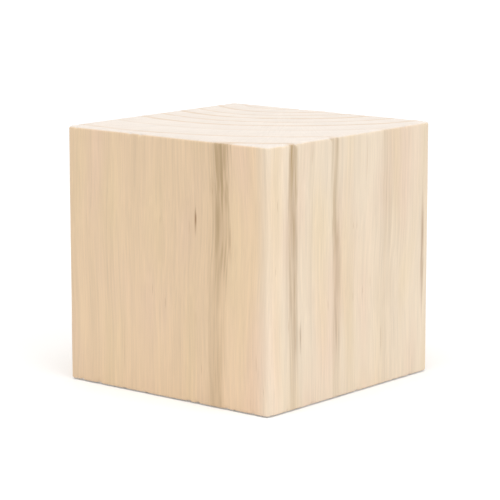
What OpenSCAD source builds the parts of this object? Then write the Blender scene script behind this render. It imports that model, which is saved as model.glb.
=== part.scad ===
// Plain wooden cube.
//
// A square softwood bar is planed on its four sides, sawn to length across the grain and
// sanded. Sanding rounds the four edges along the grain and the eight edges round the two
// end faces, and rubs the eight corners blunt. The cube is one solid piece of wood.
//
// Millimetres, +Z up along the grain, so the top and the bottom are end grain.
// The origin is the centre of the bottom face.

/* [Block] */
// Length of each side of the cube
side = 50; // [20:1:100]

/* [Sanding] */
// Radius of the four edges that run along the grain
long_edge_radius = 0.8; // [0.3:0.1:2]
// Radius of the eight edges round the two end faces
end_edge_radius = 0.6; // [0.3:0.1:2]
// How far each corner is rubbed back from the point where its three edges meet
corner_rub = 0.2; // [0.05:0.05:0.4]

/* [Hidden] */

// Half of the side, from the cube's centre to each face
reach = side / 2;

// Blanks run past the cube by this much at each end, so that their ends cut nothing
overrun = 5;

// Where the three rounded edges of a corner meet, from the cube's centre: the same
// distance sideways in X and Y, and its own distance up
corner_side = reach - long_edge_radius * (1 - 1 / sqrt(2));
corner_step = max(0, corner_side - (reach - end_edge_radius));
corner_up = reach - end_edge_radius + sqrt(pow(end_edge_radius, 2) - pow(corner_step, 2));
corner_distance = norm([corner_side, corner_side, corner_up]);

// Facets of a rounded edge's full circle, and of the ball that blunts the corners
edge_facets = 64;
ball_facets = 240;

// Square outline with rounded corners, centred on the origin
module eased_square(radius) {
    square([side - 2 * radius, side], center = true);
    square([side, side - 2 * radius], center = true);
    for (x = [-1, 1], y = [-1, 1])
        translate([x * (reach - radius), y * (reach - radius)])
            circle(r = radius, $fn = edge_facets);
}

// Bar of that outline along Z, centred on the origin and longer than the cube
module eased_bar(radius) {
    linear_extrude(height = side + 2 * overrun, center = true)
        eased_square(radius);
}

// The wooden cube, standing on its bottom end
module wooden_cube() {
    color("burlywood")
        translate([0, 0, reach])
            intersection() {
                // The planed bar, eased along the grain
                eased_bar(long_edge_radius);
                // The end edges that run along X, and those that run along Y
                rotate([0, 90, 0])
                    eased_bar(end_edge_radius);
                rotate([90, 0, 0])
                    eased_bar(end_edge_radius);
                // The corners, rubbed back evenly
                sphere(r = corner_distance - corner_rub, $fn = ball_facets);
            }
}

wooden_cube();  // cube
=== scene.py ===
"""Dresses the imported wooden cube: a block of pale softwood, planed on four sides and sawn
across the grain at both ends, then sanded lightly by hand.

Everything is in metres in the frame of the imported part, with +Z up along the grain. The
wood itself is described in millimetres, because growth rings and fibres are that small.
"""

import logging
import math
from dataclasses import dataclass
from enum import Enum
from functools import reduce

import bpy
import numpy as np
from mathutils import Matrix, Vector


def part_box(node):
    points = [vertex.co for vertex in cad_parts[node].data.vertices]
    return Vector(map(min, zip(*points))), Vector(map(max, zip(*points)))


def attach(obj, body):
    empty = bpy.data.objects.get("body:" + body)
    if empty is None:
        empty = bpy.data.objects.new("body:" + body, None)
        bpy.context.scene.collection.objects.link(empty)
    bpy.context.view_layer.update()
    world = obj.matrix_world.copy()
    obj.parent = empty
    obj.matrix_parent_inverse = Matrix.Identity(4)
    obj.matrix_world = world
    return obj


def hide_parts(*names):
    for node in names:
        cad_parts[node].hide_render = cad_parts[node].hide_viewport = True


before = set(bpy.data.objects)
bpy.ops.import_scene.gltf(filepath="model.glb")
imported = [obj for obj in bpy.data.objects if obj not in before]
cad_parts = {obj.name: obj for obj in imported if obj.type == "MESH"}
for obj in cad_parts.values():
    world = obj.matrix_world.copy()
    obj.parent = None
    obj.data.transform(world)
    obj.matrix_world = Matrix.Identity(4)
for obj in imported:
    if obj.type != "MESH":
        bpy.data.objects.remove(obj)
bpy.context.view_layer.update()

LOG = logging.getLogger("wooden_cube")
MM_PER_M = 1000.0
END_GRAIN = "end_grain"
SIDE_NUMBER = "side"
BAKE_MAP = "OFBake"
EIGHTH_TURN = math.pi / 4

# A Mix node has sockets for each kind of value, and these are the ones for colours
MIX_SHARE = 0
MIX_FIRST = 6
MIX_SECOND = 7
MIX_RESULT = 2

Colour = tuple[float, float, float, float]
Point = tuple[float, float, float]
Span = tuple[float, float]

WHITE: Colour = (1.0, 1.0, 1.0, 1.0)


def srgb(red: int, green: int, blue: int) -> Colour:
    """A colour given as it shows on a screen, turned into the linear one a shader takes.

    Args:
        red: Red from 0 to 255.
        green: Green from 0 to 255.
        blue: Blue from 0 to 255.

    Returns:
        The linear colour with an alpha of one.
    """
    shares = (red / 255, green / 255, blue / 255)
    linear = [s / 12.92 if s <= 0.04045 else ((s + 0.055) / 1.055) ** 2.4 for s in shares]
    return (linear[0], linear[1], linear[2], 1.0)


@dataclass(frozen=True)
class Signal:
    """A number, vector, colour or shape on its way through a node tree.

    Arithmetic on a signal adds the node that does it. The other value may be a signal
    too, or a plain number or tuple.

    Args:
        socket: The output that it comes from.
    """

    socket: bpy.types.NodeSocket

    @property
    def tree(self) -> bpy.types.NodeTree:
        """The node tree that it is in."""
        return self.socket.id_data

    @property
    def has_parts(self) -> bool:
        """Whether it is a vector or a colour."""
        return self.socket.type in ("VECTOR", "RGBA")

    def __add__(self, other: "Value") -> "Signal":
        """This plus another."""
        return work("ADD", self, other)

    def __sub__(self, other: "Value") -> "Signal":
        """This less another."""
        return work("SUBTRACT", self, other)

    def __rsub__(self, other: "Value") -> "Signal":
        """Another less this."""
        return work("SUBTRACT", other, self)

    def __mul__(self, other: "Value") -> "Signal":
        """This times another."""
        return work("MULTIPLY", self, other)

    def __truediv__(self, other: "Value") -> "Signal":
        """This over another."""
        return work("DIVIDE", self, other)

    def __rtruediv__(self, other: "Value") -> "Signal":
        """Another over this."""
        return work("DIVIDE", other, self)

    def length(self) -> "Signal":
        """The length of a vector."""
        node = add_node(self.tree, "ShaderNodeVectorMath", {0: self}, operation="LENGTH")
        return output(node, "Value")

    def split(self) -> list["Signal"]:
        """The three parts of a vector."""
        node = add_node(self.tree, "ShaderNodeSeparateXYZ", {0: self})
        return [Signal(part) for part in node.outputs]

    def join(self, y: "Value", z: "Value") -> "Signal":
        """A vector of this and two more numbers."""
        return output(add_node(self.tree, "ShaderNodeCombineXYZ", {0: self, 1: y, 2: z}))

    def slope(self, span: Span, soft: bool = True) -> "Signal":
        """Goes from 0 at one value to 1 at another, and stays there on either side.

        Args:
            span: The values at which the result is 0 and 1. Either may be the greater.
            soft: Whether both ends of the slope are eased.

        Returns:
            The share, from 0 to 1.
        """
        inputs = {"Value": self, "From Min": span[0], "From Max": span[1]}
        kind = "SMOOTHSTEP" if soft else "LINEAR"
        return output(add_node(self.tree, "ShaderNodeMapRange", inputs, interpolation_type=kind))

    def between(self, span: Span) -> "Signal":
        """Goes from the span's first number to its second as this goes from 0 to 1."""
        return work("MULTIPLY_ADD", self, span[1] - span[0], span[0])

    def blend(self, first: "Value", second: "Value") -> "Signal":
        """Goes from one colour to another as this goes from 0 to 1.

        Args:
            first: The colour that it comes from.
            second: The colour that it goes to.

        Returns:
            The colour in between.
        """
        inputs = {MIX_SHARE: self, MIX_FIRST: first, MIX_SECOND: second}
        return output(add_node(self.tree, "ShaderNodeMix", inputs, data_type="RGBA"), MIX_RESULT)

    def through(self, kind: str, inputs: dict[str, "Value"], **settings: object) -> "Signal":
        """Sends a shape through one more node.

        Args:
            kind: Blender's name for the kind of node.
            inputs: The values of its other inputs.
            **settings: Properties to set on it.

        Returns:
            The shape that comes out.
        """
        node = add_node(self.tree, kind, {"Geometry": self, **inputs}, **settings)
        return output(node, "Geometry")


Value = Signal | float | tuple | str | bpy.types.Material


def feed(socket: bpy.types.NodeSocket, value: Value) -> None:
    """Gives an input its value, by a link from a signal or as it is.

    Args:
        socket: The input.
        value: The signal or the value. A single number fills all parts of a vector.
    """
    if isinstance(value, Signal):
        socket.id_data.links.new(value.socket, socket)
    elif isinstance(value, float) and socket.type == "VECTOR":
        socket.default_value = (value,) * 3
    else:
        socket.default_value = value


def add_node(
    tree: bpy.types.NodeTree, kind: str, inputs: dict[str | int, Value], **settings: object
) -> bpy.types.Node:
    """Adds a node to a tree.

    Args:
        tree: The node tree.
        kind: Blender's name for the kind of node.
        inputs: The values of its inputs, by name or number.
        **settings: Properties to set on it.

    Returns:
        The new node.
    """
    node = tree.nodes.new(kind)
    for name, setting in settings.items():
        setattr(node, name, setting)
    for key, value in inputs.items():
        feed(node.inputs[key], value)
    return node


def output(node: bpy.types.Node, name: str | int = 0) -> Signal:
    """What leaves a node by one of its outputs, by name or number."""
    return Signal(node.outputs[name])


def source(tree: bpy.types.NodeTree, kind: str, name: str, **settings: object) -> Signal:
    """What a new node brings into a tree by the output of that name."""
    return output(add_node(tree, kind, {}, **settings), name)


def work(operation: str, *values: Value) -> Signal:
    """Adds one step of arithmetic, on vectors if any value is a signal with parts.

    Args:
        operation: Blender's name for the step.
        *values: What it works on, at least one of them a signal.

    Returns:
        The result.
    """
    signals = [value for value in values if isinstance(value, Signal)]
    parts = any(signal.has_parts for signal in signals)
    kind = "ShaderNodeVectorMath" if parts else "ShaderNodeMath"
    inputs = dict(enumerate(values))
    return output(add_node(signals[0].tree, kind, inputs, operation=operation))


def most(signals: list[Signal]) -> Signal:
    """The greatest of several numbers."""
    return reduce(lambda one, other: work("MAXIMUM", one, other), signals)


@dataclass(frozen=True)
class Pattern:
    """Smooth random values through the wood, a half on average.

    Args:
        grain: How far apart the values differ along X, Y and Z, in millimetres.
        detail: How many finer layers are added.
        shift: Moves the pattern on, so that no two are alike.
    """

    grain: Point
    detail: float = 0.0
    shift: float = 0.0

    def value(self, at: Signal) -> Signal:
        """The pattern's value at each point.

        Args:
            at: The point, in millimetres.

        Returns:
            The value, from 0 to 1.
        """
        place = at / self.grain + (self.shift, -self.shift, self.shift / 2)
        inputs = {"Vector": place, "Scale": 1.0, "Detail": self.detail}
        return output(add_node(at.tree, "ShaderNodeTexNoise", inputs))


@dataclass(frozen=True)
class Wander:
    """A pattern that strays to either side, a little or as far as it can.

    Args:
        pattern: Where it strays, and which way.
        reach: How far it can stray, in millimetres.
    """

    pattern: Pattern
    reach: float

    def offset(self, at: Signal) -> Signal:
        """How far it strays at each point."""
        return self.pattern.value(at).between((-self.reach, self.reach))


@dataclass(frozen=True)
class Year:
    """One year's growth, told by the dark latewood at its outer edge.

    Args:
        edge: Distance of the year's outer edge from the pith, in millimetres.
        latewood: How wide its latewood is, in millimetres.
        darkness: How dark the latewood gets, from 0 to 1.
    """

    edge: float
    latewood: float
    darkness: float

    def span(self, shares: Span) -> Span:
        """Two distances from the pith, given as shares of the latewood in from the edge."""
        return (self.edge - shares[0] * self.latewood, self.edge - shares[1] * self.latewood)


@dataclass(frozen=True)
class GrowthRings:
    """Where the growth rings run through the block, in millimetres.

    Args:
        pith: The tree's centre in X and Y, at the height of the cube's base.
        lean: How far the pith moves in X and Y for each millimetre of height.
        wander: How the rings stray from true circles, slowly and more closely.
        ripening: How much earlywood darkens before its latewood comes, from 0 to 1.
        darkening: Where latewood begins and where it is full, as shares of its width in
            from the year's edge.
        ending: Where it has ended and where it starts to end, in the same shares.
        crest: How far inside its edge a year's wood is hardest.
        lead_in: How far before its latewood the wood starts to harden.
        lead_out: How far past the year's edge it is soft again.
        years: The years from the pith outwards.
    """

    pith: tuple[float, float] = (-14.6, 31.5)
    lean: tuple[float, float] = (0.012, -0.01)
    wander: tuple[Wander, ...] = (
        Wander(Pattern((26.0, 26.0, 90.0), 1.0, 3.1), 1.0),
        Wander(Pattern((5.0, 5.0, 40.0), 0.0, 7.7), 0.25),
    )
    ripening: float = 0.16
    darkening: Span = (1.0, 0.4)
    ending: Span = (-0.3, 0.1)
    crest: float = 0.5
    lead_in: float = 0.4
    lead_out: float = 0.9
    years: tuple[Year, ...] = (
        Year(5.4, 0.9, 0.4),
        Year(10.4, 1.1, 0.5),
        Year(15.8, 1.4, 0.75),
        Year(21.2, 1.2, 0.65),
        Year(26.2, 1.6, 0.85),
        Year(31.8, 1.3, 0.7),
        Year(37.4, 1.6, 0.8),
        Year(44.4, 1.8, 0.3),
        Year(53.9, 1.9, 0.6),
        Year(63.2, 2.1, 0.88),
        Year(72.5, 1.5, 0.7),
    )

    def from_pith(self, at: Signal) -> Signal:
        """The level way to each point from the pith at its height.

        Args:
            at: The point, in millimetres.

        Returns:
            The way, in millimetres.
        """
        z = at.split()[2]
        rise, foot = (*self.lean, 1.0), (*self.pith, 0.0)
        return at - work("MULTIPLY_ADD", z.join(z, z), rise, foot)

    def distance(self, at: Signal) -> Signal:
        """How far each point is from the pith once the rings' wander is taken out.

        Args:
            at: The point, in millimetres.

        Returns:
            The distance in millimetres.
        """
        away = self.from_pith(at).length()
        for wander in self.wander:
            away = away + wander.offset(at)
        return away

    def latewood(self, distance: Signal, stray: Signal) -> Signal:
        """How much of the dark latewood is at a distance from the pith.

        Each year starts pale, darkens a little all through, gets its dark latewood near
        its outer edge, and there turns pale again within a fibre or two.

        Args:
            distance: Distance from the pith, in millimetres.
            stray: How far single fibres stray over the edge, in millimetres.

        Returns:
            The share of latewood, from 0 to 1.
        """
        reached = distance + stray
        bands = []
        start = 0.0
        for year in self.years:
            late = reached.slope(year.span(self.darkening)) * year.darkness
            season = distance.slope((start, year.edge), soft=False) * self.ripening
            fall = reached.slope(year.span(self.ending))
            bands.append(most([late, season]) * fall)
            start = year.edge
        return most(bands)

    def hardness(self, distance: Signal) -> Signal:
        """How hard the wood is, which is how little the sander takes off.

        It follows the latewood, but smoothly enough for the rows of a mesh.

        Args:
            distance: Distance from the pith, in millimetres.

        Returns:
            The hardness, from 0 to 1.
        """
        bands = []
        for year in self.years:
            crest = year.edge - self.crest
            rise = distance.slope((year.edge - year.latewood - self.lead_in, crest))
            fall = distance.slope((year.edge + self.lead_out, crest))
            bands.append(rise * fall * year.darkness)
        return most(bands)


@dataclass(frozen=True)
class SawMarks:
    """The arcs that a circular saw leaves on the two end faces, in millimetres.

    Args:
        centre: The middle of the blade in X and Y.
        pitch: How far apart the arcs are.
        detail: How many finer layers of arcs are added.
    """

    centre: tuple[float, float] = (150.0, -95.0)
    pitch: float = 1.5
    detail: float = 1.5

    def height(self, at: Signal) -> Signal:
        """How high the surface stands between the saw's cuts.

        Args:
            at: The point, in millimetres.

        Returns:
            The height, from 0 to 1.
        """
        from_blade = at * (1.0, 1.0, 0.0) - (*self.centre, 0.0)
        inputs = {"W": from_blade.length() / self.pitch, "Scale": 1.0, "Detail": self.detail}
        return output(add_node(at.tree, "ShaderNodeTexNoise", inputs, noise_dimensions="1D"))


@dataclass(frozen=True)
class Patches:
    """Something that comes and goes through the wood in soft patches.

    Args:
        pattern: Where the patches are.
        edge: The pattern's values at which a patch begins and is full.
        strength: What it measures outside the patches and inside them.
    """

    pattern: Pattern
    edge: Span
    strength: Span

    def amount(self, at: Signal) -> Signal:
        """What it measures at each point."""
        return self.pattern.value(at).slope(self.edge).between(self.strength)


@dataclass(frozen=True)
class Tint:
    """A colour that drifts through the earlywood.

    Args:
        colour: The colour.
        patches: How much of it there is.
    """

    colour: Colour
    patches: Patches

    def over(self, at: Signal, colour: Signal) -> Signal:
        """A colour with this one laid over it."""
        return self.patches.amount(at).blend(colour, self.colour)


@dataclass(frozen=True)
class Streaks:
    """One layer of paler and darker streaks.

    Args:
        pattern: Where the streaks are.
        swing: How much lighter or darker they make the wood, as a share.
    """

    pattern: Pattern
    swing: float

    def factor(self, at: Signal) -> Signal:
        """How much lighter or darker the wood is at each point."""
        return self.factor_of(self.pattern.value(at))

    def factor_of(self, value: Signal) -> Signal:
        """How much lighter or darker a value of the pattern makes the wood."""
        return value.between((1 - self.swing, 1 + self.swing))


@dataclass(frozen=True)
class Fleck:
    """A dark streak in the wood, in millimetres: a short one is resin, a long one follows a growth
    ring or darkens part of a side.

    Args:
        middle: Where it is, in the part's frame.
        width: How wide it is.
        length: How long it is, along the grain.
        darkness: How dark it gets, from 0 to 1.
        edge: Where it starts and where it is full, as shares of the way out to its rim.
    """

    middle: Point
    width: float
    length: float
    darkness: float
    edge: Span = (1.0, 0.2)

    def share(self, at: Signal) -> Signal:
        """How much of the fleck is at each point.

        Args:
            at: The point, in millimetres.

        Returns:
            Its darkness in the middle, and 0 outside it.
        """
        half = (self.width / 2, self.width / 2, self.length / 2)
        way_out = ((at - self.middle) / half).length()
        return way_out.slope(self.edge) * self.darkness


@dataclass(frozen=True)
class ResinCanals:
    """Hair-thin resin canals, cut open along the grain here and there.

    Args:
        colour: Their colour.
        spacing: How far apart they are along X, Y and Z, in millimetres.
        edge: Where a canal starts and where it is full, as shares of the spacing.
        chance: The random values that open a canal a little and in full, from 0 to 1.
        strength: How much the colour covers, from 0 to 1.
    """

    colour: Colour = srgb(186, 150, 112)
    spacing: Point = (0.55, 0.55, 46.0)
    edge: Span = (0.14, 0.042)
    chance: Span = (0.4, 0.7)
    strength: float = 0.6

    def share(self, at: Signal) -> Signal:
        """How much of a canal is at each point.

        Args:
            at: The point, in millimetres.

        Returns:
            The share, from 0 to 1.
        """
        inputs = {"Vector": at / self.spacing, "Scale": 1.0}
        cells = add_node(at.tree, "ShaderNodeTexVoronoi", inputs)
        near = output(cells, "Distance").slope(self.edge)
        there = output(cells, "Color").split()[0].slope(self.chance)
        return near * there


@dataclass(frozen=True)
class EndGrain:
    """How the sawn ends look, with their rings, rays, open pores and saw marks.

    Args:
        rings: The growth rings, whose pith the rays run out from.
        saw: The saw's marks.
        earlywood: Its earlywood, pale sanded end grain made paler still with painted light
            from above, on both ends.
        latewood: Its latewood, made paler the same way.
        fan: Turns a bearing from the pith, in radians, into millimetres between rays.
        rays: The rays, laid out across, outwards and up.
        pores: The open ends of the fibres.
        blotches: The slow unevenness of the whole face.
        arcs: How much darker the top of a saw mark is, as a share.
    """

    rings: GrowthRings
    saw: SawMarks
    # Painted light from above: both end faces are paler than bare pine ends, as if strongly lit
    # from overhead
    earlywood: Colour = srgb(235, 225, 215)
    latewood: Colour = srgb(220, 197, 172)
    fan: float = 50.0
    rays: Streaks = Streaks(Pattern((0.28, 7.0, 4.0), 1.0, 51.0), 0.06)
    pores: Streaks = Streaks(Pattern((0.22, 0.22, 0.22), 2.0, 55.0), 0.08)
    blotches: Streaks = Streaks(Pattern((6.0, 6.0, 6.0), 2.0, 58.0), 0.05)
    arcs: float = 0.05

    def colour(self, at: Signal, late: Signal) -> Signal:
        """The colour of an end face.

        Args:
            at: The point, in millimetres.
            late: The share of latewood there.

        Returns:
            The colour.
        """
        way_out = self.rings.from_pith(at)
        x, y, _ = way_out.split()
        bearing = work("ARCTAN2", y, x) * self.fan
        factor = (
            self.rays.factor(bearing.join(way_out.length(), at.split()[2]))
            * self.pores.factor(at)
            * self.blotches.factor(at)
            * self.saw.height(at).between((1 + self.arcs, 1 - self.arcs))
        )
        return late.blend(self.earlywood, self.latewood) * factor


@dataclass(frozen=True)
class SandedPine:
    """Bare softwood as it comes off the sander, solid all through, in millimetres.

    Args:
        rings: The growth rings that colour it.
        ends: How its sawn ends look.
        cream: Earlywood of the +X side.
        straw_and_bounce: Earlywood of the rest, a little warmer and darker, partly the wood's
            own tone and partly painted warm bounce light from neighbouring blocks.
        bounce_warming: The X at which cream starts to turn into straw_and_bounce, and where it has.
        blush: The rosy tint of the earlywood.
        honey: The yellow tint of the earlywood.
        latewood: The dark part of a year.
        cover: How much the latewood covers where it is darkest, from 0 to 1.
        stray: How fibres stray over the edge of the latewood.
        end_stray: The share of that which is left on an end face.
        pale_patches: How much of the latewood there is, over some centimetres.
        strings: How much of it there is, from fibre to fibre.
        end_strings: The same on an end face, where all of the fibres are alike.
        low: The share of the latewood's darkness that is left low on the block.
        rising: The heights between which it comes back to its full darkness.
        outer: The distances from the pith at which the paler outer years begin.
        sapwood: How much paler they are, as a share.
        sway: How fibres bend along X and along Y.
        bands: The widest streaks.
        fibres: The streaks that show at arm's length.
        threads: The finest streaks.
        canals: The resin canals.
        resin: The colour of the flecks.
        flecks: Where the flecks are.
        feather: How far threads shift a fleck's edge, to either side.
        fleck_fibres: How strong a fleck is in the palest and in the darkest fibres.
        roughness: The roughness of the palest and of the darkest fibres.
        end_roughness: How much rougher the end faces are.
        gloss: How strongly the bare wood reflects, where 0.5 is a plastic.
        raised_threads: How high threads stand, as a share of the fibres.
        sunk_canals: How deep canals lie, as a share of the same.
        raised: How high the fibres stand, in metres.
        bump: How much of that is shown, from 0 to 1.
    """

    rings: GrowthRings
    ends: EndGrain
    cream: Colour = srgb(239, 222, 199)
    # Painted warm bounce light: every side but +X is warmer and a little darker, partly the wood's
    # own tone and partly light thrown back by neighbouring blocks
    straw_and_bounce: Colour = srgb(237, 209, 175)
    bounce_warming: Span = (25.6, 21.0)
    blush: Tint = Tint(
        srgb(236, 204, 182), Patches(Pattern((9.0, 9.0, 34.0), 1.0, 40.2), (0.44, 0.74), (0.0, 0.4))
    )
    honey: Tint = Tint(
        srgb(234, 210, 168), Patches(Pattern((7.0, 7.0, 40.0), 1.0, 47.5), (0.46, 0.76), (0.0, 0.4))
    )
    latewood: Colour = srgb(182, 155, 117)
    cover: float = 0.9
    stray: Wander = Wander(Pattern((0.3, 0.3, 20.0), 1.5, 33.0), 0.45)
    end_stray: float = 0.15
    pale_patches: Patches = Patches(Pattern((4.0, 4.0, 15.0), 1.0, 17.0), (0.3, 0.62), (0.7, 1.0))
    strings: Patches = Patches(Pattern((0.45, 0.45, 26.0), 1.0, 37.0), (0.33, 0.67), (0.55, 1.25))
    end_strings: float = 0.9
    low: float = 0.42
    rising: Span = (10.0, 44.0)
    outer: Span = (61.5, 66.5)
    sapwood: float = 0.05
    sway: tuple[Wander, Wander] = (
        Wander(Pattern((35.0, 35.0, 24.0), 1.0, 21.0), 1.1),
        Wander(Pattern((35.0, 35.0, 24.0), 1.0, 27.0), 1.1),
    )
    bands: Streaks = Streaks(Pattern((2.4, 2.4, 70.0), 1.0, 9.4), 0.07)
    fibres: Streaks = Streaks(Pattern((0.55, 0.55, 17.0), 2.0, 1.3), 0.10)
    threads: Streaks = Streaks(Pattern((0.17, 0.17, 7.0), 1.0, 5.9), 0.07)
    canals: ResinCanals = ResinCanals()
    resin: Colour = srgb(150, 112, 76)
    flecks: tuple[Fleck, ...] = (
        Fleck((7.6, -25.0, 34.8), 0.6, 7.0, 0.8),
        Fleck((15.9, -25.0, 31.5), 1.0, 10.0, 0.3),
        Fleck((25.0, -18.3, 28.0), 6.0, 58.0, 0.22),
        Fleck((25.0, -17.2, 24.0), 2.6, 56.0, 0.25),
        Fleck((25.0, -15.6, 13.5), 0.9, 8.0, 0.4),
        Fleck((25.0, -4.6, 20.0), 3.6, 56.0, 0.16),
        Fleck((25.0, -4.6, 15.0), 1.0, 18.0, 0.3),
        # A broad faint darkening, 16 mm wide, over the rear part of the +X side from top to bottom
        Fleck((25.0, 11.0, 26.0), 16.0, 70.0, 0.07),
        # A dark line about 2 mm inside the back edge of the +X side, over most of its height
        Fleck((25.0, 22.8, 24.5), 1.5, 34.0, 0.5),
        Fleck((-25.0, 6.3, 17.5), 0.5, 4.5, 0.9),
        Fleck((-25.0, -12.8, 40.5), 0.4, 3.2, 0.8),
        Fleck((9.4, 25.0, 21.0), 0.5, 6.5, 0.85),
        Fleck((-3.2, 25.0, 37.5), 0.4, 3.0, 0.8),
    )
    feather: float = 0.35
    fleck_fibres: Span = (1.75, 0.15)
    roughness: Span = (0.58, 0.74)
    end_roughness: float = 0.1
    gloss: float = 0.35
    raised_threads: float = 0.5
    sunk_canals: float = 0.6
    raised: float = 0.00004
    bump: float = 0.6

    def swayed(self, at: Signal) -> Signal:
        """Moves points sideways a little, so that the fibres don't run dead straight."""
        to_x, to_y = (sway.offset(at) for sway in self.sway)
        return at + to_x.join(to_y, 0.0)

    def earlywood(self, at: Signal) -> Signal:
        """The pale colour of the side grain, with its slow drifts of tint.

        Args:
            at: The point, in millimetres.

        Returns:
            The colour.
        """
        # Cream on the +X side, and the warmer earlywood with its painted bounce light on the others
        warm = at.split()[0].slope(self.bounce_warming)
        colour = warm.blend(self.cream, self.straw_and_bounce)
        return self.honey.over(at, self.blush.over(at, colour))

    def late_share(self, at: Signal, fibre_at: Signal, distance: Signal, end: Signal) -> Signal:
        """How much latewood shows, broken up by the fibres.

        Args:
            at: The point, in millimetres.
            fibre_at: The same point, moved as the fibres sway.
            distance: Its distance from the pith, in millimetres.
            end: How much it belongs to an end face, from 0 to 1.

        Returns:
            The share of latewood, from 0 to 1.
        """
        stray = self.stray.offset(fibre_at) * end.between((1.0, self.end_stray))
        risen = at.split()[2].slope(self.rising)
        strings = self.strings.amount(fibre_at)
        return (
            self.rings.latewood(distance, stray)
            * self.pale_patches.amount(fibre_at)
            * risen.between((self.low, 1.0))
            * (strings + end * (self.end_strings - strings))
        )

    def fleck_share(self, at: Signal, fibres: Signal, threads: Signal) -> Signal:
        """How much resin shows, feathered by the threads and broken up by the fibres.

        Args:
            at: The point, in millimetres.
            fibres: The fibres' random value there.
            threads: The threads' random value there.

        Returns:
            The share of resin, about 0 to 1.
        """
        feathered = threads.between((-self.feather, self.feather))
        feathered_at = at + feathered.join(feathered, 0.0)
        shares = [fleck.share(feathered_at) for fleck in self.flecks]
        return most(shares) * fibres.between(self.fleck_fibres)

    def material(self) -> bpy.types.Material:
        """Makes the wood's material on Object coordinates.

        Returns:
            The new material.
        """
        material = bpy.data.materials.new("sanded_pine")
        material.use_nodes = True
        tree = material.node_tree
        at = source(tree, "ShaderNodeTexCoord", "Object") * MM_PER_M
        end = source(tree, "ShaderNodeAttribute", "Fac", attribute_name=END_GRAIN)
        fibre_at = self.swayed(at)
        distance = self.rings.distance(at)
        late = self.late_share(at, fibre_at, distance, end)
        fibres = self.fibres.pattern.value(fibre_at)
        threads = self.threads.pattern.value(fibre_at)
        canals = self.canals.share(fibre_at)

        colour = (late * self.cover).blend(self.earlywood(fibre_at), self.latewood)
        factor = (
            distance.slope(self.outer).between((1.0, 1.0 + self.sapwood))
            * self.bands.factor(fibre_at)
            * self.fibres.factor_of(fibres)
            * self.threads.factor_of(threads)
        )
        colour = end.blend(colour * factor, self.ends.colour(at, late))
        colour = (canals * self.canals.strength).blend(colour, self.canals.colour)
        colour = self.fleck_share(at, fibres, threads).blend(colour, self.resin)
        rough = fibres.between(self.roughness) + end * self.end_roughness
        height = fibres + threads * self.raised_threads - canals * self.sunk_canals
        relief = {"Strength": self.bump, "Distance": self.raised, "Height": height}

        shader = tree.nodes["Principled BSDF"]
        feed(shader.inputs["Base Color"], colour)
        feed(shader.inputs["Roughness"], rough)
        feed(shader.inputs["Specular IOR Level"], self.gloss)
        feed(shader.inputs["Normal"], output(add_node(tree, "ShaderNodeBump", relief)))
        return material


@dataclass(frozen=True)
class Relief:
    """How far the real surface lies under the ideal one, in millimetres.

    Latewood is hard and stands proud, earlywood is sanded lower, the saw leaves arcs on
    the ends, and fibres have broken out here and there along the end edges.

    Args:
        rings: The growth rings.
        saw: The saw's marks.
        sanded: How much lower earlywood lies than latewood.
        end_sanded: The share of that which an end face has.
        fibre: The ribs of the fibres.
        fibre_depth: How deep they go.
        hollows: The slow hollows of sanding by hand.
        hollow_depth: How deep they go.
        arc_depth: How deep the saw's arcs go on the ends.
        torn: Where fibres have broken out along an end edge.
        torn_reach: The distances from the edge at which that ends and is deepest.
        worn: How evenly the long edges are rubbed.
        worn_depth: How deep they are rubbed.
        worn_reach: The distances from the edge at which that ends and is deepest.
    """

    rings: GrowthRings
    saw: SawMarks
    sanded: float = 0.01
    end_sanded: float = 0.3
    fibre: Pattern = Pattern((0.8, 0.8, 24.0), 1.0, 1.3)
    fibre_depth: float = 0.02
    hollows: Pattern = Pattern((14.0, 14.0, 18.0), 0.0, 4.4)
    hollow_depth: float = 0.05
    arc_depth: float = 0.07
    torn: Patches = Patches(Pattern((1.5, 1.5, 4.0), 1.0, 12.0), (0.58, 0.72), (0.0, 0.3))
    torn_reach: Span = (1.3, 0.1)
    worn: Pattern = Pattern((3.0, 3.0, 9.0), 1.0, 15.0)
    worn_depth: float = 0.12
    worn_reach: Span = (1.2, 0.0)

    def depth(self, at: Signal, to_faces: Signal, end: Signal) -> Signal:
        """How deep the real surface lies at each point.

        Args:
            at: The point on the rounded block, in the part's frame.
            to_faces: Its distances from the nearest faces across X, Y and Z.
            end: How much it belongs to an end face, from 0 to 1.

        Returns:
            The depth, never below zero.
        """
        to_x, to_y, to_z = to_faces.split()
        end_edge = work("MAXIMUM", to_z, work("MINIMUM", to_x, to_y))
        long_edge = work("MAXIMUM", to_x, to_y)
        softness = 1.0 - self.rings.hardness(self.rings.distance(at))
        return (
            softness * end.between((1.0, self.end_sanded)) * self.sanded
            + self.fibre.value(at) * self.fibre_depth
            + self.hollows.value(at) * self.hollow_depth
            + self.saw.height(at) * end * self.arc_depth
            + self.torn.amount(at) * end_edge.slope(self.torn_reach)
            + self.worn.value(at) * long_edge.slope(self.worn_reach) * self.worn_depth
        )


def values_of(
    items: bpy.types.bpy_prop_collection, name: str, kind: type, each: int = 1
) -> np.ndarray:
    """One property of all of a mesh's points, corners or faces.

    Args:
        items: The points, corners or faces.
        name: The property.
        kind: The kind of number that it holds.
        each: How many numbers it holds for each item.

    Returns:
        The numbers in one row.
    """
    values = np.empty(len(items) * each, kind)
    items.foreach_get(name, values)
    return values


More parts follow.
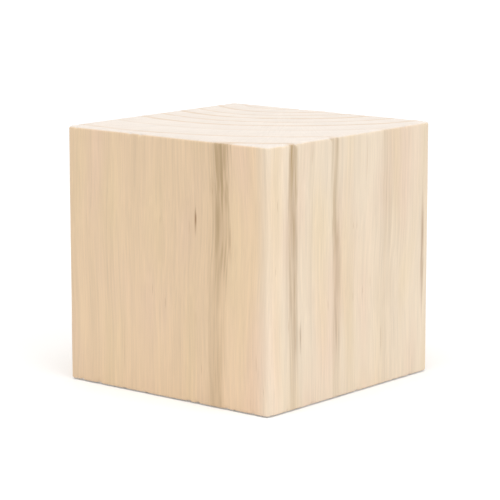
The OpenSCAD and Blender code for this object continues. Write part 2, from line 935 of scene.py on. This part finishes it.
class Side(Enum):
    """The block's six faces: outward normal, the axes across and up it, and map cell.

    A map cell is its lower left corner, width and height. Side faces get more of the map
    across the grain than along it, because that is where the pattern is fine.
    """

    FRONT = ((0.0, -1.0, 0.0), (0, 2), (0.0, 0.0, 0.5, 0.25))
    RIGHT = ((1.0, 0.0, 0.0), (1, 2), (0.0, 0.25, 0.5, 0.25))
    BACK = ((0.0, 1.0, 0.0), (0, 2), (0.0, 0.5, 0.5, 0.25))
    LEFT = ((-1.0, 0.0, 0.0), (1, 2), (0.0, 0.75, 0.5, 0.25))
    BOTTOM = ((0.0, 0.0, -1.0), (0, 1), (0.5, 0.0, 0.5, 0.5))
    TOP = ((0.0, 0.0, 1.0), (0, 1), (0.5, 0.5, 0.5, 0.5))

    def __init__(
        self, normal: Point, axes: tuple[int, int], cell: tuple[float, float, float, float]
    ) -> None:
        """Names what is known of a side.

        Args:
            normal: The direction that the face looks in.
            axes: The axes that run across and up the face.
            cell: Left, bottom, width and height of the face's cell in the map.
        """
        self.normal = normal
        self.axes = axes
        self.cell = cell


@dataclass(frozen=True)
class WoodenCube:
    """The block itself: its form, its surface relief and its map.

    Args:
        low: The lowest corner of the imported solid, in metres.
        high: Its highest corner, in metres.
        finish: The wood that it is made of.
        relief: How its surface departs from the ideal one.
        relief_used: How much of the relief's depth is used, from 0 to 1.
        long_edge: Radius of the edges along the grain, in metres.
        end_edge: Radius of the edges round the end faces, in metres.
        across: Rows of faces across each side.
        along: Rows of faces along the grain.
        edge_rows: Rows of faces over each half of a rounded edge.
        crowding: How much closer the rows are near the edges, from 0 up to half of pi.
        facing: How far a normal of the plain box may be from the normal of its side.
        end_turn: How far up or down a normal points where end grain begins and where
            there is nothing else, from 0 to 1.
        map_gap: The clear rim of a map cell, as a share of the map.
        name: The name of the piece.
    """

    low: Vector
    high: Vector
    finish: SandedPine
    relief: Relief
    relief_used: float = 1.0
    long_edge: float = 0.0008
    end_edge: float = 0.0006
    across: int = 150
    along: int = 88
    edge_rows: int = 4
    crowding: float = 1.1
    facing: float = 0.1
    end_turn: Span = (0.45, 0.9)
    map_gap: float = 0.004
    name: str = "wooden_cube"

    @property
    def size(self) -> Vector:
        """How long the block is each way, in metres."""
        return self.high - self.low

    @property
    def centre(self) -> Vector:
        """The middle of the block, in metres."""
        return (self.high + self.low) / 2

    def inputs(self) -> dict[str, tuple[str, Value]]:
        """The named inputs of the block's geometry nodes.

        Returns:
            What kind of value each of them takes, and the value.
        """
        return {
            "Size": ("Vector", tuple(self.size)),
            "Centre": ("Vector", tuple(self.centre)),
            "Edge radius": ("Vector", (self.long_edge, self.long_edge, self.end_edge)),
            "Rows across": ("Int", self.across),
            "Rows along": ("Int", self.along),
            "Relief": ("Float", self.relief_used),
        }

    def rounded(self, given: bpy.types.Node) -> tuple[Signal, Signal]:
        """Bends the plain box of rows into a block with rounded edges.

        The outer rows of each face go round its half of the edge at equal angles, and
        the rest crowd a little towards the edge.

        Args:
            given: The tree's inputs.

        Returns:
            The point on the rounded block, from its centre, and the outward normal there.
        """
        radius = output(given, "Edge radius")
        across, along = output(given, "Rows across"), output(given, "Rows along")
        at = source(given.id_data, "GeometryNodeInputPosition", "Position")
        reach, sign = work("ABSOLUTE", at), work("SIGN", at)
        rim = 2.0 * self.edge_rows / across.join(across, along)
        belt = 1.0 - rim
        swing = work("SINE", work("MINIMUM", reach / belt, 1.0) * self.crowding)
        flat = output(given, "Size") / 2.0 - radius
        past = work("MAXIMUM", reach - belt, 0.0)
        turn = work("NORMALIZE", work("TANGENT", past / rim * EIGHTH_TURN))
        point = swing * flat / math.sin(self.crowding) + turn * radius
        return point * sign, work("NORMALIZE", turn / radius) * sign

    def plain_box(self, given: bpy.types.Node) -> Signal:
        """Makes the plain box of rows, with the number of its side on each face.

        Args:
            given: The tree's inputs.

        Returns:
            The box, which reaches one unit each way.
        """
        tree = given.id_data
        rows = {"X": "Rows across", "Y": "Rows across", "Z": "Rows along"}
        inputs = {f"Vertices {axis}": output(given, row) + 1.0 for axis, row in rows.items()}
        box = add_node(tree, "GeometryNodeMeshCube", {"Size": 2.0, **inputs})
        normal = source(tree, "GeometryNodeInputNormal", "Normal")
        numbers = []
        for number, side in enumerate(Side):
            faces_it = work("LESS_THAN", (normal - side.normal).length(), self.facing)
            numbers.append(faces_it * float(number))
        return output(box, "Mesh").through(
            "GeometryNodeStoreNamedAttribute",
            {"Name": SIDE_NUMBER, "Value": most(numbers)},
            data_type="INT",
            domain="FACE",
        )

    def round_off(self, given: bpy.types.Node, box: Signal) -> tuple[Signal, Signal, Signal]:
        """Gives the box its size, its place and its rounded edges.

        Args:
            given: The tree's inputs.
            box: The plain box.

        Returns:
            The rounded block, the outward normal at each point of it, and how much the
            point belongs to an end face, which is stored on the block as well.
        """
        point, normal = self.rounded(given)
        capture = add_node(given.id_data, "GeometryNodeCaptureAttribute", {}, domain="POINT")
        capture.capture_items.new("VECTOR", "Normal")
        feed(capture.inputs["Geometry"], box)
        feed(capture.inputs["Normal"], normal)
        normal = output(capture, "Normal")
        end = work("ABSOLUTE", normal.split()[2]).slope(self.end_turn)
        place = {"Position": point + output(given, "Centre")}
        block = output(capture, "Geometry").through("GeometryNodeSetPosition", place)
        block = block.through(
            "GeometryNodeStoreNamedAttribute",
            {"Name": END_GRAIN, "Value": end},
            data_type="FLOAT",
            domain="POINT",
        )
        return block, normal, end

    def inward(self, given: bpy.types.Node, normal: Signal, end: Signal) -> Signal:
        """How far and which way the relief moves each point.

        Args:
            given: The tree's inputs.
            normal: The outward normal at the point.
            end: How much the point belongs to an end face, from 0 to 1.

        Returns:
            The move.
        """
        here = source(given.id_data, "GeometryNodeInputPosition", "Position")
        off_centre = work("ABSOLUTE", here - output(given, "Centre"))
        to_faces = (output(given, "Size") / 2.0 - off_centre) * MM_PER_M
        depth = self.relief.depth(here * MM_PER_M, to_faces, end)
        return normal * (depth * output(given, "Relief") / -MM_PER_M)

    def tree(self, material: bpy.types.Material) -> bpy.types.NodeTree:
        """Builds the geometry nodes that make the block.

        Args:
            material: The finish that the tree sets on the faces.

        Returns:
            The node tree.
        """
        tree = bpy.data.node_groups.new("block_from_bar", "GeometryNodeTree")
        for name, (kind, _) in self.inputs().items():
            tree.interface.new_socket(name, in_out="INPUT", socket_type=f"NodeSocket{kind}")
        tree.interface.new_socket("Geometry", in_out="OUTPUT", socket_type="NodeSocketGeometry")
        given = add_node(tree, "NodeGroupInput", {})
        block, normal, end = self.round_off(given, self.plain_box(given))
        move = {"Offset": self.inward(given, normal, end)}
        block = block.through("GeometryNodeSetPosition", move)
        block = block.through("GeometryNodeSetShadeSmooth", {})
        block = block.through("GeometryNodeRealizeInstances", {})
        block = block.through("GeometryNodeSetMaterial", {"Material": material})
        add_node(tree, "NodeGroupOutput", {"Geometry": block})
        return tree

    def build(self) -> bpy.types.Object:
        """Makes the block's mesh and dresses it.

        Returns:
            The finished piece.
        """
        tree = self.tree(self.finish.material())
        draft = bpy.data.objects.new("draft", bpy.data.meshes.new("draft"))
        bpy.context.scene.collection.objects.link(draft)
        modifier = draft.modifiers.new("block", "NODES")
        modifier.node_group = tree
        inputs = self.inputs()
        for item in tree.interface.items_tree:
            if item.in_out == "INPUT":
                modifier[item.identifier] = inputs[item.name][1]
        evaluated = draft.evaluated_get(bpy.context.evaluated_depsgraph_get())
        mesh = bpy.data.meshes.new_from_object(evaluated)
        bpy.data.objects.remove(draft)
        mesh.name = self.name
        self.lay_out_map(mesh)
        piece = bpy.data.objects.new(self.name, mesh)
        bpy.context.scene.collection.objects.link(piece)
        return piece

    def lay_out_map(self, mesh: bpy.types.Mesh) -> None:
        """Lays each side of the block flat in its own cell of the map.

        Args:
            mesh: The block's mesh, with the number of each face's side on it.
        """
        sides = values_of(mesh.attributes[SIDE_NUMBER].data, "value", np.int32)
        of_corner = np.repeat(sides, values_of(mesh.polygons, "loop_total", np.int32))
        corners = values_of(mesh.loops, "vertex_index", np.int32)
        points = values_of(mesh.vertices, "co", np.float32, 3).reshape(-1, 3)
        share = (points[corners] - np.array(self.low)) / np.array(self.size)
        flat = np.zeros((len(corners), 2), np.float32)
        for number, side in enumerate(Side):
            mine = of_corner == number
            for part, axis in enumerate(side.axes):
                start = side.cell[part] + self.map_gap
                room = side.cell[part + 2] - 2 * self.map_gap
                flat[mine, part] = start + share[mine, axis] * room
        layer = mesh.uv_layers.new(name=BAKE_MAP)
        layer.uv.foreach_set("vector", flat.ravel())
        mesh.attributes.remove(mesh.attributes[SIDE_NUMBER])


@dataclass(frozen=True)
class Lamp:
    """A soft square lamp that looks at the block.

    Args:
        name: What it is called.
        azimuth: Where it stands round the block, in degrees, 0 in front.
        elevation: How high it stands, in degrees.
        distance: How far off it is, in metres.
        size: The length of its side, in metres.
        power: Its power in watts.
    """

    name: str
    azimuth: float
    elevation: float
    distance: float
    size: float
    power: float


def around(centre: Vector, azimuth: float, elevation: float, distance: float) -> Vector:
    """A point at a distance from a centre, by its bearing and height.

    Args:
        centre: The point in the middle.
        azimuth: Bearing in degrees. At 0 the point is on the -Y side, at 90 on +X.
        elevation: Height in degrees above the horizon.
        distance: Distance in metres.

    Returns:
        The point.
    """
    turn, lift = math.radians(azimuth), math.radians(elevation)
    flat = distance * math.cos(lift)
    offset = Vector((flat * math.sin(turn), -flat * math.cos(turn), distance * math.sin(lift)))
    return centre + offset


@dataclass(frozen=True)
class Studio:
    """The plain white table, the soft light and the camera.

    Args:
        centre: The middle of the block.
        side: The length of the block's side, in metres.
        azimuth: Where the camera stands round the block, in degrees.
        elevation: How high the camera stands, in degrees.
        sides_away: The camera's distance, counted in sides of the block.
        filled: How much of the view's width the block fills.
        sensor: The width of the camera's sensor, in millimetres.
        table: The length of the table's side, in metres.
        table_grey: How much of the light the table gives back, from 0 to 1.
        table_lift: How much whiter the table looks than it is lit, close by and far off.
        table_far: The distances from the block between which it goes from one to the
            other, in metres.
        fill_light: The strength of the surroundings as a light, where they look like 1.
        lamps: The lamps.
    """

    centre: Vector
    side: float
    azimuth: float = 39.6
    elevation: float = 10.2
    sides_away: float = 9.0
    filled: float = 0.72
    sensor: float = 36.0
    table: float = 4.0
    table_grey: float = 0.9
    table_lift: Span = (0.14, 0.49)
    table_far: Span = (0.15, 1.0)
    fill_light: float = 0.62
    lamps: tuple[Lamp, ...] = (
        Lamp("overhead", 20.0, 78.0, 1.0, 0.9, 5.0),
        Lamp("key", 85.0, 38.0, 1.1, 0.8, 2.4),
    )

    def aim(self, thing: bpy.types.Object, place: Vector) -> None:
        """Puts a lamp or the camera at a place and turns it to the block.

        Args:
            thing: The lamp or the camera.
            place: The place.
        """
        thing.location = place
        thing.rotation_euler = (self.centre - place).to_track_quat("-Z", "Y").to_euler()
        bpy.context.scene.collection.objects.link(thing)

    def add_camera(self) -> None:
        """Makes the camera, framed on the block."""
        turn = math.radians(self.azimuth)
        distance = self.sides_away * self.side
        width = self.side * (math.cos(turn) + math.sin(turn)) / self.filled
        data = bpy.data.cameras.new("camera")
        data.sensor_width = self.sensor
        data.lens = self.sensor * distance / width
        camera = bpy.data.objects.new("camera", data)
        self.aim(camera, around(self.centre, self.azimuth, self.elevation, distance))
        bpy.context.scene.camera = camera

    def add_lamps(self) -> None:
        """Makes the lamps."""
        for lamp in self.lamps:
            data = bpy.data.lights.new(lamp.name, "AREA")
            data.size = lamp.size
            data.energy = lamp.power
            thing = bpy.data.objects.new(lamp.name, data)
            self.aim(thing, around(self.centre, lamp.azimuth, lamp.elevation, lamp.distance))

    def seen(self, tree: bpy.types.NodeTree) -> Signal:
        """1 for a ray from the camera or one off gloss or through glass, otherwise 0."""
        path = add_node(tree, "ShaderNodeLightPath", {})
        return most([output(path, f"Is {ray} Ray") for ray in ("Camera", "Glossy", "Transmission")])

    def add_world(self) -> None:
        """Makes the white surroundings, dimmer as a light than they look."""
        world = bpy.data.worlds.new("surroundings")
        bpy.context.scene.world = world
        world.use_nodes = True
        back = world.node_tree.nodes["Background"]
        feed(back.inputs["Color"], WHITE)
        strength = self.seen(world.node_tree).between((self.fill_light, 1.0))
        feed(back.inputs["Strength"], strength)

    def add_table(self) -> None:
        """Makes the table top, which keeps the block's shadow."""
        reach = self.table / 2
        corners = [(-reach, -reach, 0), (reach, -reach, 0), (reach, reach, 0), (-reach, reach, 0)]
        mesh = bpy.data.meshes.new("table_top")
        mesh.from_pydata(corners, [], [(0, 1, 2, 3)])
        material = bpy.data.materials.new("white_table")
        material.use_nodes = True
        tree = material.node_tree
        far = source(tree, "ShaderNodeTexCoord", "Object").length().slope(self.table_far)
        shader = tree.nodes["Principled BSDF"]
        feed(shader.inputs["Base Color"], (*(self.table_grey,) * 3, 1.0))
        feed(shader.inputs["Roughness"], 1.0)
        feed(shader.inputs["Specular IOR Level"], 0.0)
        feed(shader.inputs["Emission Color"], WHITE)
        feed(shader.inputs["Emission Strength"], self.seen(tree) * far.between(self.table_lift))
        mesh.materials.append(material)
        table = bpy.data.objects.new("table_top", mesh)
        bpy.context.scene.collection.objects.link(table)


def main() -> None:
    """Builds the studio and the cube, and reports each piece."""
    logging.basicConfig(level=logging.INFO, format="%(message)s")
    bpy.context.scene.view_settings.view_transform = "Standard"
    rings = GrowthRings()
    saw = SawMarks()
    finish = SandedPine(rings, EndGrain(rings, saw))
    block = WoodenCube(*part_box("cube"), finish, Relief(rings, saw))

    studio = Studio(block.centre, block.size.x)
    studio.add_camera()
    studio.add_world()
    studio.add_lamps()
    studio.add_table()

    piece = block.build()
    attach(piece, "root")
    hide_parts("cube")
    LOG.info("%s: %d faces", piece.name, len(piece.data.polygons))


if __name__ == "__main__":
    main()
